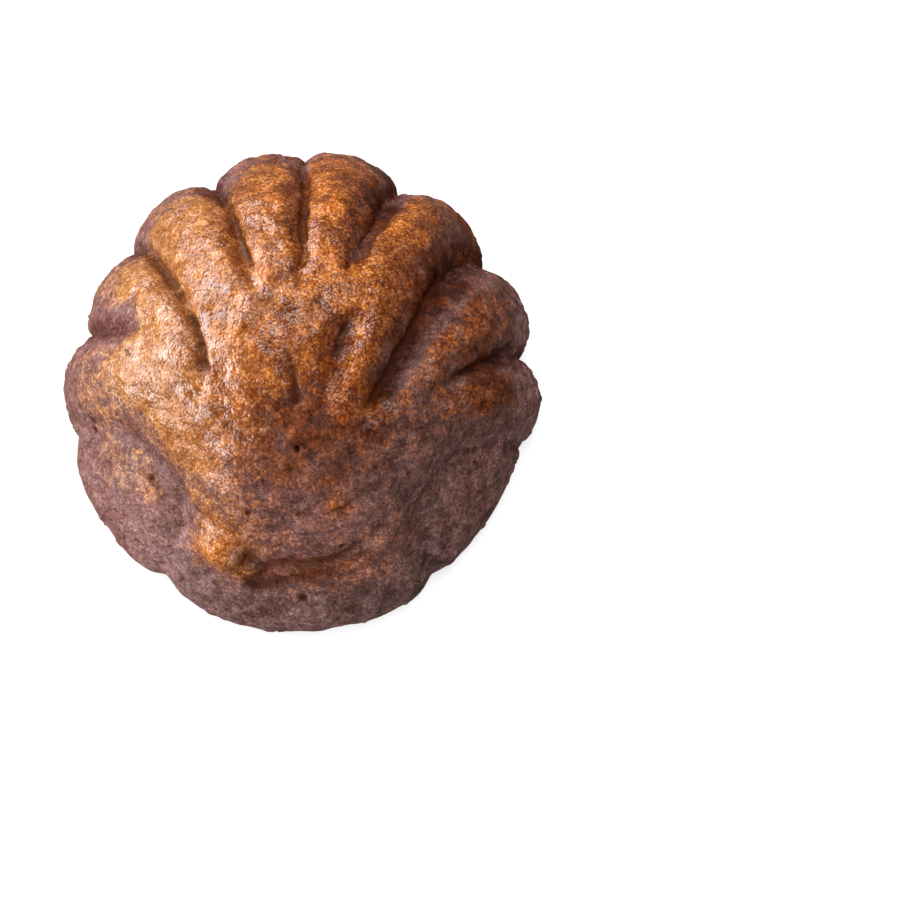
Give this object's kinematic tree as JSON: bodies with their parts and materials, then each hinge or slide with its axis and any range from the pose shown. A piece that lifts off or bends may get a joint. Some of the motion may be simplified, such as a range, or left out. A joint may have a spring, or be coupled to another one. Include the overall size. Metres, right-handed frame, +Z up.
{
  "type": "butter rice cake",
  "caption": "Small baked butter rice cake moulded like a scallop shell, with rounded ribs fanning out from a narrow hinge end, lying on its flat side.",
  "frame": {"origin": "middle of the flat resting face, under the centre of the cake's box", "axes": "+Z up out of the shell, +Y from the hinge end towards the fanned edge, +X to the right as the shell is seen from above with the fan away from the viewer"},
  "size_m": [0.06, 0.0608, 0.028],
  "materials": {
    "baked_crust": "baked golden brown and plum crust, slightly glossy"
  },
  "bodies": {
    "root": {"butter_rice_cake": "baked_crust"}
  },
  "joints": []
}
